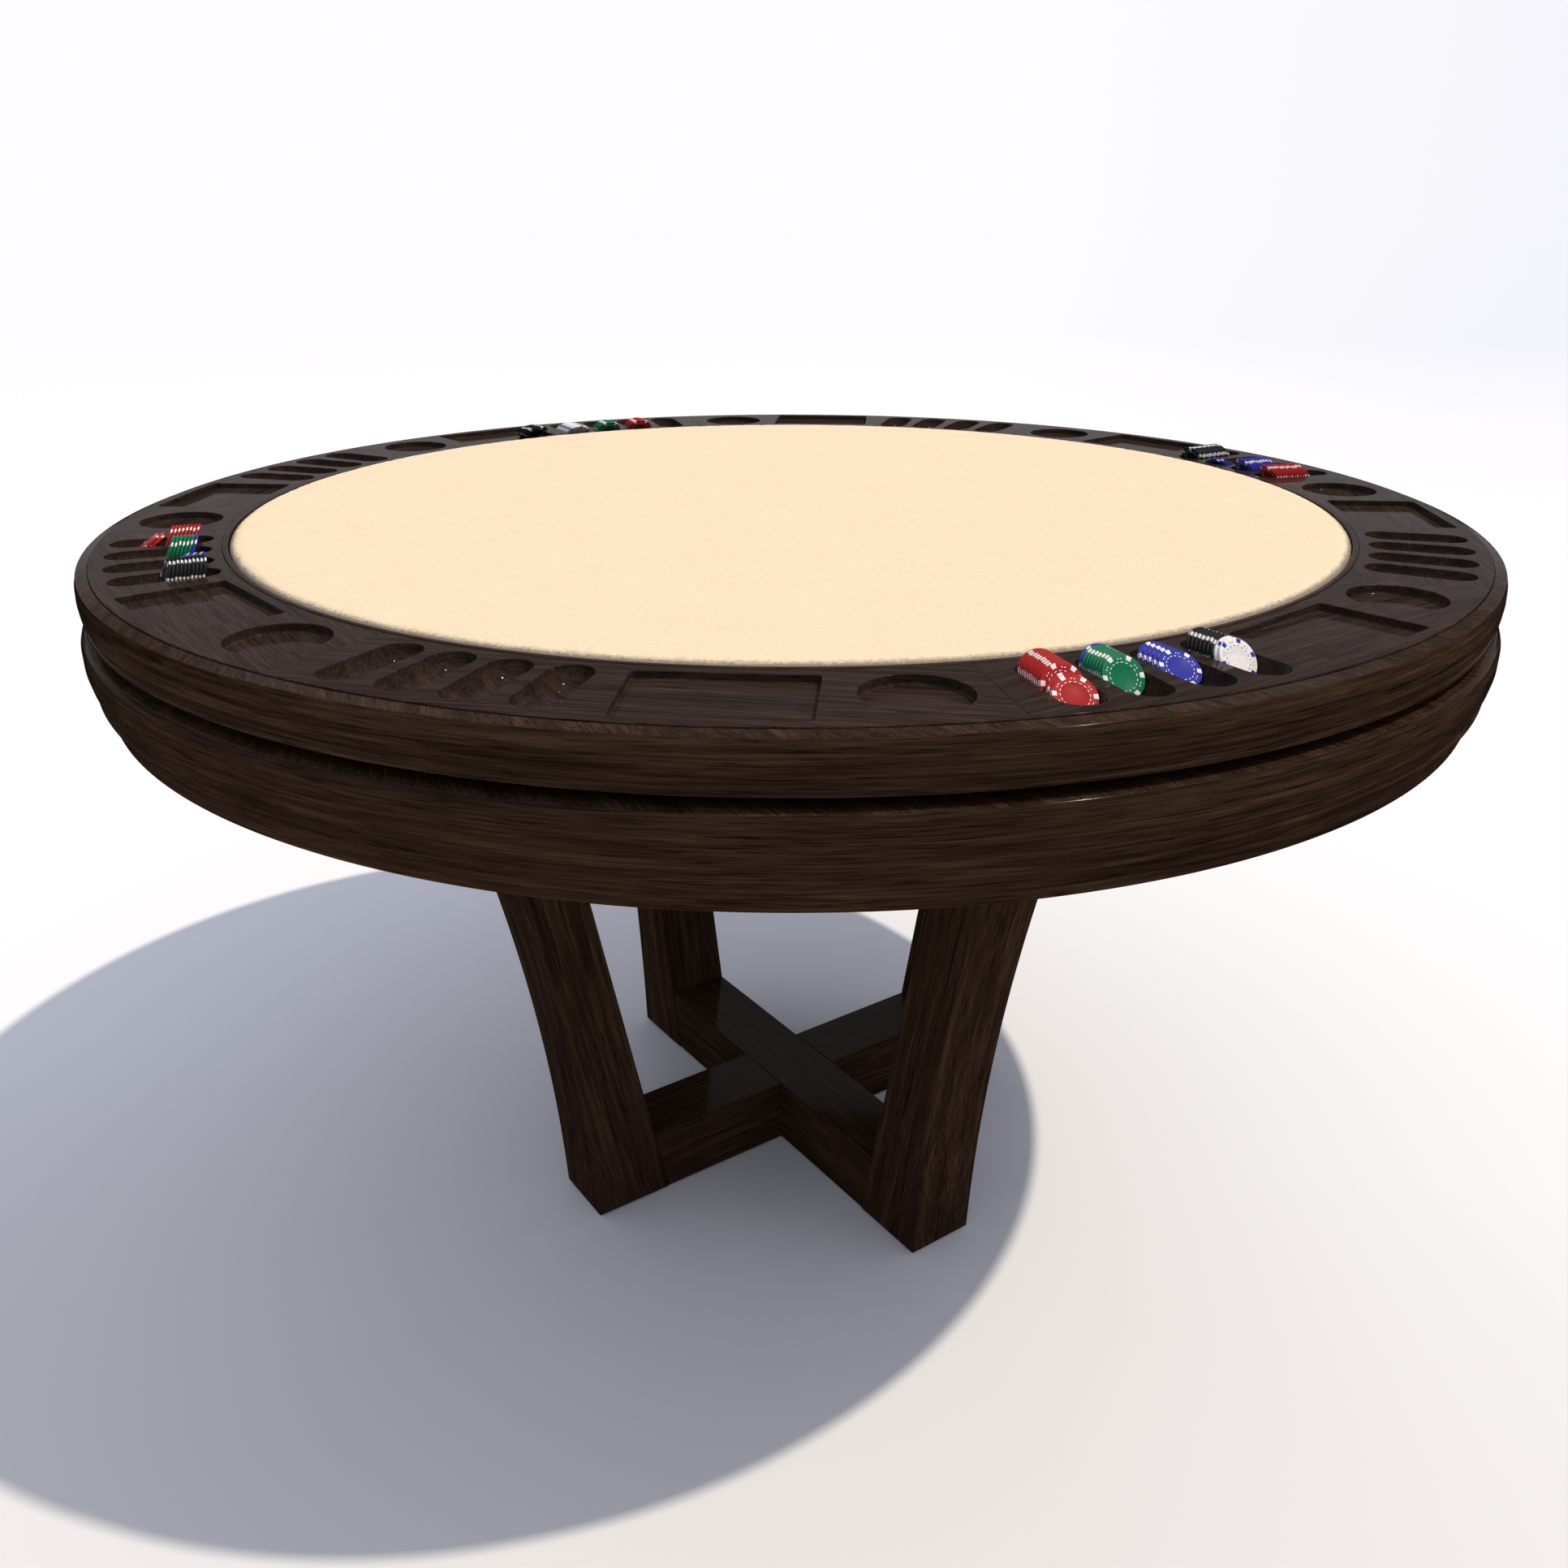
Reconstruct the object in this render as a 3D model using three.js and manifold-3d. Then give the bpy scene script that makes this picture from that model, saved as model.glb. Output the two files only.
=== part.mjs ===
// Round eight-player poker table: a lift-off game top on a crossed-leg base.
// Millimetres, +Z up, origin on the floor under the table's centre.
// Azimuths are counted counter-clockwise from +X; the legs stand on the diagonals.
import * as THREE from "three";
import { mergeVertices } from "three/addons/utils/BufferGeometryUtils.js";
import Module from "manifold-3d";

const wasm = await Module();
wasm.setup();

// Driving dimensions.
const TABLE_HEIGHT = 914; // floor to the flat top of the rail
const GAP = 0.3; // air between touching pieces
const RING_SIDES = 48; // flats on every turned piece, a multiple of the stations
const STATIONS = 8;

// Playing panel and its surround.
const PAD_RISE = 4; // how far the padded felt stands above the rail
const PAD_RADIUS = 655.4;
const PAD_THICKNESS = 15.7;
const PANEL_RADIUS = 654;
const LINER_INNER = 656;
const LINER_OUTER = 662;
const LINER_RISE = 0.6;

// Rail segments and what is cut into them.
const RAIL_INNER = LINER_OUTER + GAP;
const RAIL_OUTER = 793.5;
const RAIL_THICKNESS = 30;
const MOULDING_NOSE = 808.5; // widest radius of the moulding round the rail
const RECESS_RADIUS = 726; // pitch circle of the trays, cups and troughs
const CUP_RADIUS = 46;
const CUP_DEPTH = 9;
const CUP_ANGLE = 39.8; // degrees past the segment's first end
const TRAY_LENGTH = 154;
const TRAY_WIDTH = 106;
const TRAY_DEPTH = 7;
const TRAY_CORNER = 5;
const TRAY_ANGLE = 27.8;
const TROUGHS = 4;
const TROUGH_RADIUS = 20.5;
const TROUGH_DEPTH = 20;
const TROUGH_LENGTH = 107;
const TROUGH_FIRST_ANGLE = 4;
const TROUGH_STEP_ANGLE = 4.5;

// Deck, spacer and locating pins under the rail.
const DECK_THICKNESS = 17.7;
const SPACER_INNER = 690;
const SPACER_OUTER = 735;
const SPACER_HEIGHT = 13.2;
const PIN_COUNT = 4;
const PIN_CIRCLE = 712;
const PIN_RADIUS = 6;
const PIN_HOLE_RADIUS = 7;
const PIN_REACH = 11; // how far a pin stands below the spacer

// Base: deck, apron, stretchers and legs.
const BASE_DECK_THICKNESS = 23;
const BASE_NOSE = 812.6; // widest radius of the base
const APRON_INNER = 775;
const APRON_FOOT = 795.6; // outer radius at the apron's lower edge
const APRON_BOTTOM = 764.4;
const UNDER_PANEL_THICKNESS = 12;
const UNDER_PANEL_LIFT = 5.6; // above the apron's lower edge
const BEARER_WIDTH = 90;
const BEARER_REACH = 765;
const LEG_THICKNESS = 94;
const LEG_FOOT_INNER = 235.2;
const LEG_INNER_SLOPE = 0.2; // radius gained per millimetre of height
const LEG_FOOT_OUTER = 343.8;
const LEG_OUTER_SLOPE = 0.0467;
const LEG_OUTER_CURVE = 2.04e-4;
const STRETCHER_THICKNESS = 91;
const STRETCHER_TOP = 95.5;
const GLIDE_RADIUS = 20;
const GLIDE_THICKNESS = 3;
const BOLT_RADIUS = 5;
const BOLT_HOLE_RADIUS = 5.6;
const BOLT_BELOW = 70; // length screwed down into the leg
const BOLT_ABOVE = 40; // length up through the panel and into the bearer
const BOLT_SPREAD = 26; // from the middle of the leg's top

// Chips.
const CHIP_RADIUS = 19.5;
const CHIP_THICKNESS = 3.5;

// Heights, worked down from the rail and up from the floor.
const RAIL_BOTTOM = TABLE_HEIGHT - RAIL_THICKNESS;
const DECK_TOP = RAIL_BOTTOM - GAP;
const DECK_BOTTOM = DECK_TOP - DECK_THICKNESS;
const SPACER_TOP = DECK_BOTTOM - GAP;
const SPACER_BOTTOM = SPACER_TOP - SPACER_HEIGHT;
const BASE_DECK_TOP = SPACER_BOTTOM - GAP;
const BASE_DECK_BOTTOM = BASE_DECK_TOP - BASE_DECK_THICKNESS;
const FRAME_TOP = BASE_DECK_BOTTOM - GAP;
const UNDER_PANEL_BOTTOM = APRON_BOTTOM + UNDER_PANEL_LIFT;
const UNDER_PANEL_TOP = UNDER_PANEL_BOTTOM + UNDER_PANEL_THICKNESS;
const BEARER_BOTTOM = UNDER_PANEL_TOP + GAP;
const LEG_BOTTOM = GLIDE_THICKNESS + GAP;
const LEG_TOP = UNDER_PANEL_BOTTOM - GAP;

const STATION_ANGLE = 360 / STATIONS;
const FIRST_SEAM = -112.5;
const LEG_AZIMUTHS = [-45, 45, 135, -135];

const MATERIALS = {
  rail: { color: 0x453733, roughness: 0.25, metalness: 0 },
  walnut: { color: 0x3b2a23, roughness: 0.3, metalness: 0 },
  edge: { color: 0x35251f, roughness: 0.35, metalness: 0 },
  plywood: { color: 0xb89468, roughness: 0.7, metalness: 0 },
  hardwood: { color: 0xa37b4f, roughness: 0.6, metalness: 0 },
  felt: { color: 0xf8e2c2, roughness: 0.95, metalness: 0 },
  steel: { color: 0x9a9c9f, roughness: 0.4, metalness: 0.9 },
  nylon: { color: 0x1c1b1a, roughness: 0.6, metalness: 0 },
  red: { color: 0xc23237, roughness: 0.4, metalness: 0 },
  green: { color: 0x1d7a52, roughness: 0.4, metalness: 0 },
  blue: { color: 0x2f3aa3, roughness: 0.4, metalness: 0 },
  white: { color: 0xe9e7e2, roughness: 0.4, metalness: 0 },
  black: { color: 0x1d1e20, roughness: 0.4, metalness: 0 },
};

const table = new THREE.Group();
const gameTop = new THREE.Group();
const base = new THREE.Group();
table.add(gameTop, base);

function addPart(parent, name, geometry, material) {
  const mesh = new THREE.Mesh(geometry, new THREE.MeshStandardMaterial(MATERIALS[material]));
  mesh.name = name;
  parent.add(mesh);
}

const radians = THREE.MathUtils.degToRad;

// A point of an outline in radius and height.
const at = (radius, height) => new THREE.Vector2(radius, height);

// A piece turned about the table's axis from an outline that runs counter-clockwise in (radius, height).
function turned(outline) {
  return new THREE.LatheGeometry(outline, RING_SIDES).rotateX(Math.PI / 2);
}

function disc(radius, bottom, top) {
  return turned([at(0, bottom), at(radius, bottom), at(radius, top), at(0, top)]);
}

function ring(inner, outer, bottom, top) {
  const corners = [at(inner, bottom), at(outer, bottom), at(outer, top), at(inner, top)];
  return turned([...corners, corners[0]]);
}

// A round bar standing on end.
function bar(radius, bottom, top, sides = 12) {
  return new THREE.CylinderGeometry(radius, radius, top - bottom, sides)
    .rotateX(Math.PI / 2)
    .translate(0, 0, (bottom + top) / 2);
}

// Moves a geometry out along +X and turns it round the table's axis.
function placed(geometry, radius, azimuth) {
  return geometry.translate(radius, 0, 0).rotateZ(radians(azimuth));
}

function solidOf(geometry) {
  const bare = geometry.clone();
  bare.deleteAttribute("normal");
  bare.deleteAttribute("uv");
  const merged = mergeVertices(bare, 1e-3);
  return new wasm.Manifold(
    new wasm.Mesh({
      numProp: 3,
      vertProperties: new Float32Array(merged.attributes.position.array),
      triVerts: new Uint32Array(merged.index.array),
    }),
  );
}

function geometryOf(solid) {
  const mesh = solid.getMesh();
  const geometry = new THREE.BufferGeometry();
  geometry.setAttribute("position", new THREE.BufferAttribute(mesh.vertProperties, 3));
  geometry.setIndex(new THREE.BufferAttribute(mesh.triVerts, 1));
  return geometry;
}

function cutAway(geometry, tools) {
  return geometryOf(tools.reduce((solid, tool) => solid.subtract(solidOf(tool)), solidOf(geometry)));
}

// --- Playing panel -------------------------------------------------------------------------------

function addPlayingPanel() {
  const padTop = TABLE_HEIGHT + PAD_RISE;
  const padBottom = padTop - PAD_THICKNESS;
  const boardBottom = DECK_TOP + GAP;
  const rolledEdge = [
    at(0, padBottom),
    at(PAD_RADIUS - 2, padBottom),
    at(PAD_RADIUS, padBottom + 4),
    at(PAD_RADIUS, padTop - 6),
    at(PAD_RADIUS - 4, padTop - 1.8),
    at(PAD_RADIUS - 12, padTop),
    at(0, padTop),
  ];
  addPart(gameTop, "playing_pad", turned(rolledEdge), "felt");
  addPart(gameTop, "panel_board", disc(PANEL_RADIUS, boardBottom, padBottom - GAP), "plywood");
}

// --- Rail ----------------------------------------------------------------------------------------

function railBlank(startAngle) {
  const reach = RAIL_OUTER * Math.cos(radians(STATION_ANGLE / 2));
  const trim = GAP / 2 / reach;
  const from = radians(startAngle) + trim;
  const to = radians(startAngle + STATION_ANGLE) - trim;
  const outline = new THREE.Shape();
  outline.absarc(0, 0, RAIL_OUTER, from, to, false);
  outline.absarc(0, 0, RAIL_INNER, to, from, true);
  const options = {
    depth: RAIL_THICKNESS,
    bevelEnabled: false,
    curveSegments: RING_SIDES / STATIONS / 2, // an arc gets two flats for each
  };
  return new THREE.ExtrudeGeometry(outline, options).translate(0, 0, RAIL_BOTTOM);
}

// Ball-ended cutter lying along +X, its lowest line TROUGH_DEPTH under the rail top.
function troughCutter(azimuth) {
  const straight = TROUGH_LENGTH - 2 * TROUGH_RADIUS;
  const cutter = new THREE.CapsuleGeometry(TROUGH_RADIUS, straight, 3, 16)
    .rotateZ(Math.PI / 2)
    .translate(0, 0, TABLE_HEIGHT - TROUGH_DEPTH + TROUGH_RADIUS);
  return placed(cutter, RECESS_RADIUS, azimuth);
}

function cupCutter(azimuth) {
  const cutter = bar(CUP_RADIUS, TABLE_HEIGHT - CUP_DEPTH, TABLE_HEIGHT + 1, 24);
  return placed(cutter, RECESS_RADIUS, azimuth);
}

function trayCutter(azimuth) {
  const halfWidth = TRAY_WIDTH / 2 - TRAY_CORNER;
  const halfLength = TRAY_LENGTH / 2 - TRAY_CORNER;
  const outline = new THREE.Shape();
  outline.absarc(halfWidth, halfLength, TRAY_CORNER, 0, Math.PI / 2, false);
  outline.absarc(-halfWidth, halfLength, TRAY_CORNER, Math.PI / 2, Math.PI, false);
  outline.absarc(-halfWidth, -halfLength, TRAY_CORNER, Math.PI, 1.5 * Math.PI, false);
  outline.absarc(halfWidth, -halfLength, TRAY_CORNER, 1.5 * Math.PI, 2 * Math.PI, false);
  const options = { depth: TRAY_DEPTH + 1, bevelEnabled: false, curveSegments: 2 };
  const cutter = new THREE.ExtrudeGeometry(outline, options);
  return placed(cutter.translate(0, 0, TABLE_HEIGHT - TRAY_DEPTH), RECESS_RADIUS, azimuth);
}

const seamAngle = (station) => FIRST_SEAM + STATION_ANGLE * station;
const troughAngle = (station, trough) => {
  return seamAngle(station) + TROUGH_FIRST_ANGLE + TROUGH_STEP_ANGLE * trough;
};

function addRail() {
  for (let station = 0; station < STATIONS; station++) {
    const cutters = [
      cupCutter(seamAngle(station) + CUP_ANGLE),
      trayCutter(seamAngle(station) + TRAY_ANGLE),
    ];
    for (let trough = 0; trough < TROUGHS; trough++) {
      cutters.push(troughCutter(troughAngle(station, trough)));
    }
    const segment = cutAway(railBlank(seamAngle(station)), cutters);
    addPart(gameTop, "rail_segment_" + (station + 1), segment, "rail");
  }
  addPart(
    gameTop,
    "rail_liner",
    ring(LINER_INNER, LINER_OUTER, DECK_TOP + GAP, TABLE_HEIGHT + LINER_RISE),
    "walnut",
  );
}

// --- Edge moulding, deck, spacer and pins ---------------------------------------------------------

function addEdgeMoulding() {
  const inner = RAIL_OUTER + 0.4;
  const nose = MOULDING_NOSE;
  const top = TABLE_HEIGHT - 1.4;
  const bottom = DECK_BOTTOM - 3;
  const outline = [
    at(inner, bottom),
    at(nose - 3, bottom),
    at(nose - 3, bottom + 3.5),
    at(nose - 5, bottom + 5.5),
    at(nose - 1, bottom + 15),
    at(nose, top - 22),
    at(nose - 0.6, top - 11),
    at(nose - 2.6, top - 3.2),
    at(inner, top),
  ];
  addPart(gameTop, "edge_moulding", turned([...outline, outline[0]]), "edge");
}

function pinAzimuth(index) {
  return (index * 360) / PIN_COUNT;
}

function addDeck() {
  addPart(gameTop, "top_deck", disc(RAIL_OUTER, DECK_BOTTOM, DECK_TOP), "plywood");
  const pinTop = SPACER_TOP - 3;
  const pinBottom = SPACER_BOTTOM - PIN_REACH;
  const sockets = [];
  for (let index = 0; index < PIN_COUNT; index++) {
    const socket = bar(PIN_RADIUS + GAP, SPACER_BOTTOM - 1, pinTop + GAP);
    sockets.push(placed(socket, PIN_CIRCLE, pinAzimuth(index)));
    const pin = bar(PIN_RADIUS, pinBottom, pinTop);
    addPart(gameTop, "locating_pin_" + (index + 1), placed(pin, PIN_CIRCLE, pinAzimuth(index)), "hardwood");
  }
  const spacer = ring(SPACER_INNER, SPACER_OUTER, SPACER_BOTTOM, SPACER_TOP);
  addPart(gameTop, "spacer_ring", cutAway(spacer, sockets), "walnut");
}

// --- Base deck and apron --------------------------------------------------------------------------

function addBaseDeck() {
  const outline = [
    at(0, BASE_DECK_BOTTOM),
    at(BASE_NOSE, BASE_DECK_BOTTOM),
    at(BASE_NOSE, BASE_DECK_TOP - 12),
    at(BASE_NOSE - 2, BASE_DECK_TOP - 5.5),
    at(BASE_NOSE - 6, BASE_DECK_TOP - 1.5),
    at(BASE_NOSE - 12, BASE_DECK_TOP),
    at(0, BASE_DECK_TOP),
  ];
  const holes = [];
  for (let index = 0; index < PIN_COUNT; index++) {
    const hole = bar(PIN_HOLE_RADIUS, SPACER_BOTTOM - PIN_REACH - 1.5, BASE_DECK_TOP + 1);
    holes.push(placed(hole, PIN_CIRCLE, pinAzimuth(index)));
  }
  addPart(base, "base_deck", cutAway(turned(outline), holes), "walnut");
}

function addApron() {
  const beadBottom = APRON_BOTTOM + 26;
  const outline = [
    at(APRON_INNER, APRON_BOTTOM),
    at(APRON_FOOT, APRON_BOTTOM),
    at(APRON_FOOT + 2, APRON_BOTTOM + 10),
    at(APRON_FOOT + 7, beadBottom - 2),
    at(APRON_FOOT + 10.5, beadBottom),
    at(APRON_FOOT + 10.5, beadBottom + 5),
    at(APRON_FOOT + 9.5, beadBottom + 7),
    at(BASE_NOSE - 2.5, beadBottom + 20),
    at(BASE_NOSE, FRAME_TOP - 6),
    at(BASE_NOSE, FRAME_TOP),
    at(APRON_INNER, FRAME_TOP),
  ];
  addPart(base, "apron_hoop", turned([...outline, outline[0]]), "walnut");
}

const legTopMiddle = (legInner(LEG_TOP) + legOuter(LEG_TOP)) / 2;

function boltHoles(azimuth, bottom, top) {
  return [-BOLT_SPREAD, BOLT_SPREAD].map((offset) => {
    return placed(bar(BOLT_HOLE_RADIUS, bottom, top), legTopMiddle + offset, azimuth);
  });
}

function addFrame() {
  const boltTop = LEG_TOP + BOLT_ABOVE;
  const allHoles = LEG_AZIMUTHS.flatMap((azimuth) => {
    return boltHoles(azimuth, UNDER_PANEL_BOTTOM - 1, UNDER_PANEL_TOP + 1);
  });
  const panel = disc(APRON_INNER - 0.4, UNDER_PANEL_BOTTOM, UNDER_PANEL_TOP);
  addPart(base, "under_panel", cutAway(panel, allHoles), "walnut");

  const height = FRAME_TOP - BEARER_BOTTOM;
  const middle = (FRAME_TOP + BEARER_BOTTOM) / 2;
  const lap = BEARER_WIDTH + 2 * GAP;
  [-45, 45].forEach((azimuth, index) => {
    const beam = new THREE.BoxGeometry(2 * BEARER_REACH, BEARER_WIDTH, height).translate(0, 0, middle);
    const side = index === 0 ? 1 : -1;
    const notch = new THREE.BoxGeometry(lap, lap, height / 2 + GAP / 2 + 1);
    notch.translate(0, 0, middle + side * (height / 4 + 0.5 - GAP / 4));
    const cutters = [
      notch.rotateZ(radians(azimuth)),
      ...boltHoles(azimuth, BEARER_BOTTOM - 1, boltTop + GAP),
      ...boltHoles(azimuth + 180, BEARER_BOTTOM - 1, boltTop + GAP),
    ];
    addPart(base, "bearer_" + (index + 1), cutAway(beam.rotateZ(radians(azimuth)), cutters), "hardwood");
  });
}

// --- Legs, stretchers, glides and bolts ------------------------------------------------------------

function legInner(height) {
  return LEG_FOOT_INNER + LEG_INNER_SLOPE * height;
}

function legOuter(height) {
  return LEG_FOOT_OUTER + LEG_OUTER_SLOPE * height + LEG_OUTER_CURVE * height * height;
}

// A sabre leg cut from a plank: straight raked inner edge, hollow-curved outer edge.
function legPlank() {
  const bendHeight = (LEG_BOTTOM + LEG_TOP) / 2;
  const footSlope = LEG_OUTER_SLOPE + 2 * LEG_OUTER_CURVE * LEG_BOTTOM;
  const bendRadius = legOuter(LEG_BOTTOM) + footSlope * (bendHeight - LEG_BOTTOM);
  const outline = new THREE.Shape();
  outline.moveTo(legInner(LEG_BOTTOM), LEG_BOTTOM);
  outline.lineTo(legOuter(LEG_BOTTOM), LEG_BOTTOM);
  outline.quadraticCurveTo(bendRadius, bendHeight, legOuter(LEG_TOP), LEG_TOP);
  outline.lineTo(legInner(LEG_TOP), LEG_TOP);
  const options = { depth: LEG_THICKNESS, bevelEnabled: false, curveSegments: 14 };
  return new THREE.ExtrudeGeometry(outline, options)
    .rotateX(Math.PI / 2)
    .translate(0, LEG_THICKNESS / 2, 0);
}

function addLegs() {
  const boltBottom = LEG_TOP - BOLT_BELOW;
  const boltTop = LEG_TOP + BOLT_ABOVE;
  const footMiddle = (legInner(LEG_BOTTOM) + legOuter(LEG_BOTTOM)) / 2;
  LEG_AZIMUTHS.forEach((azimuth, index) => {
    const number = index + 1;
    const plank = legPlank().rotateZ(radians(azimuth));
    const leg = cutAway(plank, boltHoles(azimuth, boltBottom - GAP, LEG_TOP + 1));
    addPart(base, "leg_" + number, leg, "walnut");
    const glide = placed(bar(GLIDE_RADIUS, 0, GLIDE_THICKNESS, 20), footMiddle, azimuth);
    addPart(base, "glide_" + number, glide, "nylon");
    [-BOLT_SPREAD, BOLT_SPREAD].forEach((offset, bolt) => {
      const rod = placed(bar(BOLT_RADIUS, boltBottom, boltTop), legTopMiddle + offset, azimuth);
      addPart(base, "leg_bolt_" + number + "ab"[bolt], rod, "steel");
    });
  });
}

// A stretcher between two opposite legs, half cut away where it crosses the other.
function stretcher(azimuth, notchSide) {
  const endAtBottom = legInner(LEG_BOTTOM) - GAP;
  const endAtTop = legInner(STRETCHER_TOP) - GAP;
  const outline = new THREE.Shape();
  outline.moveTo(-endAtBottom, LEG_BOTTOM);
  outline.lineTo(endAtBottom, LEG_BOTTOM);
  outline.lineTo(endAtTop, STRETCHER_TOP);
  outline.lineTo(-endAtTop, STRETCHER_TOP);
  const options = { depth: STRETCHER_THICKNESS, bevelEnabled: false };
  const board = new THREE.ExtrudeGeometry(outline, options)
    .rotateX(Math.PI / 2)
    .translate(0, STRETCHER_THICKNESS / 2, 0);
  const height = STRETCHER_TOP - LEG_BOTTOM;
  const lap = STRETCHER_THICKNESS + 2 * GAP;
  const notch = new THREE.BoxGeometry(lap, lap, height / 2 + GAP / 2 + 1);
  const middle = (STRETCHER_TOP + LEG_BOTTOM) / 2;
  notch.translate(0, 0, middle + notchSide * (height / 4 + 0.5 - GAP / 4));
  return cutAway(board, [notch]).rotateZ(radians(azimuth));
}

function addStretchers() {
  addPart(base, "stretcher_1", stretcher(-45, -1), "walnut");
  addPart(base, "stretcher_2", stretcher(45, 1), "walnut");
}

// --- Chips -----------------------------------------------------------------------------------------

// Chips on edge, leaning in towards the panel, by rail segment: [name, colour, slot, how many, lean in degrees,
// first chip's distance outwards from the slot's middle]. The last slot is the end of the tray.
const TRAY_END = TROUGHS;
const CHIP_RACKS = {
  2: [
    ["red", "red", 0, 10, 32, -33],
    ["tipped_red", "red", 0, 2, 52, 18.9],
    ["green", "green", 1, 8, 38, -32],
    ["blue", "blue", 2, 5, 55, -27],
    ["black", "black", 3, 9, 38, -32],
  ],
  4: [
    ["red", "red", 0, 12, 38, -32],
    ["blue", "blue", 1, 10, 38, -32],
    ["spare_blue", "blue", 2, 2, 62, -30],
    ["black", "black", 3, 14, 34, -33],
  ],
  6: [
    ["red", "red", 1, 7, 42, -32],
    ["green", "green", 2, 6, 42, -32],
    ["white", "white", 3, 9, 50, -31.5],
    ["black", "black", TRAY_END, 5, 58, -32],
  ],
  8: [
    ["red", "red", 0, 8, 25, -33.5],
    ["tipped_red", "red", 0, 2, 55, 11],
    ["green", "green", 1, 7, 25, -33.5],
    ["blue", "blue", 2, 3, 58, -30],
    ["black", "black", 3, 10, 20, -34],
  ],
};

function slotAngle(station, slot) {
  if (slot !== TRAY_END) {
    return troughAngle(station, slot);
  }
  const fromTrayMiddle = TRAY_LENGTH / 2 - CHIP_RADIUS - 3;
  return seamAngle(station) + TRAY_ANGLE - THREE.MathUtils.radToDeg(fromTrayMiddle / RECESS_RADIUS);
}

// How high the middle of a leaning chip stands over the slot's floor. Leaning makes the chip low for its width,
// so in a round-bottomed trough it wedges on the sides before it can touch the floor.
function seatHeight(slot, lean) {
  const onFloor = CHIP_RADIUS * Math.cos(radians(lean)) + GAP;
  if (slot === TRAY_END) {
    return onFloor;
  }
  const room = TROUGH_RADIUS - 2 * GAP;
  const wedged = TROUGH_RADIUS - Math.sqrt(room ** 2 - CHIP_RADIUS ** 2) * Math.sin(radians(lean));
  return Math.max(onFloor, wedged);
}

function chipStack(station, slot, count, lean, first) {
  const pitch = CHIP_THICKNESS / Math.cos(radians(lean));
  const middle = first + ((count - 1) * pitch) / 2;
  const floor = TABLE_HEIGHT - (slot === TRAY_END ? TRAY_DEPTH : TROUGH_DEPTH);
  const stack = new THREE.CylinderGeometry(CHIP_RADIUS, CHIP_RADIUS, count * pitch, 16);
  const tilt = new THREE.Matrix4().set(
    1, 0, -Math.sin(radians(lean)), 0,
    0, 1, 0, 0,
    0, 0, Math.cos(radians(lean)), 0,
    0, 0, 0, 1,
  );
  stack.rotateZ(-Math.PI / 2).applyMatrix4(tilt);
  stack.translate(0, 0, floor + seatHeight(slot, lean));
  return placed(stack, RECESS_RADIUS + middle, slotAngle(station, slot));
}

function addChips() {
  for (const [segment, stacks] of Object.entries(CHIP_RACKS)) {
    for (const [name, colour, slot, count, lean, first] of stacks) {
      const stack = chipStack(Number(segment) - 1, slot, count, lean, first);
      addPart(gameTop, "chips_" + segment + "_" + name, stack, colour);
    }
  }
}

addPlayingPanel();
addRail();
addEdgeMoulding();
addDeck();
addBaseDeck();
addApron();
addFrame();
addLegs();
addStretchers();
addChips();

export default table;
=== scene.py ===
"""Round eight-player poker table: finish pieces, materials, light and camera.

Metres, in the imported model's frame: +Z up, origin on the floor under the table's centre. Azimuths are
counted counter-clockwise from +X. Visible CAD solids are replaced by smooth, detailed pieces of their size.
"""

import math
import random

import bpy
import numpy as np
from mathutils import Matrix, Vector, noise


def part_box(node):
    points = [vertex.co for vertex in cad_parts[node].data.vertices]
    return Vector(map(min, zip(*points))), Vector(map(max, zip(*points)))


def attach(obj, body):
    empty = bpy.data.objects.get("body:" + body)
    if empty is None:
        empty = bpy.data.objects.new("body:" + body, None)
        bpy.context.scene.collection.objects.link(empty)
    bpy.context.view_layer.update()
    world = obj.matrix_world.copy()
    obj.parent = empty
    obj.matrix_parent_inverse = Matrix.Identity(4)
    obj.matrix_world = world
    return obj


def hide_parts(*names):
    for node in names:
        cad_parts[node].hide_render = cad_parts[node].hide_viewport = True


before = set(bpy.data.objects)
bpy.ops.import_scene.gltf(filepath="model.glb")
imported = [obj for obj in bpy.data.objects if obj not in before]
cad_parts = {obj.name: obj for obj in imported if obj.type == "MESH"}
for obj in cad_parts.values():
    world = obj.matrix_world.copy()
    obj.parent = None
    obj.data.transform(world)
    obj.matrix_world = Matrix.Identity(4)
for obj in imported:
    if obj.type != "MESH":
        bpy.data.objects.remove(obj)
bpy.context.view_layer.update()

MM = 0.001
GAP = 0.3 * MM
SIDES = 288  # flats on every turned piece, a multiple of the stations
STATIONS = 8
STATION_ANGLE = 360 / STATIONS
FIRST_SEAM = -112.5

# Heights that the CAD solids give.
RAIL_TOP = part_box("rail_segment_1")[1].z
RAIL_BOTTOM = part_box("rail_segment_1")[0].z
PAD_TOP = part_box("playing_pad")[1].z
PAD_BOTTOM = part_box("playing_pad")[0].z
LINER_BOTTOM, LINER_TOP = (corner.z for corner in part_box("rail_liner"))
MOULDING_BOTTOM, MOULDING_TOP = (corner.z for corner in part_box("edge_moulding"))
DECK_BOTTOM, DECK_TOP = (corner.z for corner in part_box("base_deck"))
APRON_BOTTOM, APRON_TOP = (corner.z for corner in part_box("apron_hoop"))
LEG_BOTTOM, LEG_TOP = (corner.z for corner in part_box("leg_1"))
STRETCHER_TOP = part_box("stretcher_1")[1].z

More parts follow.
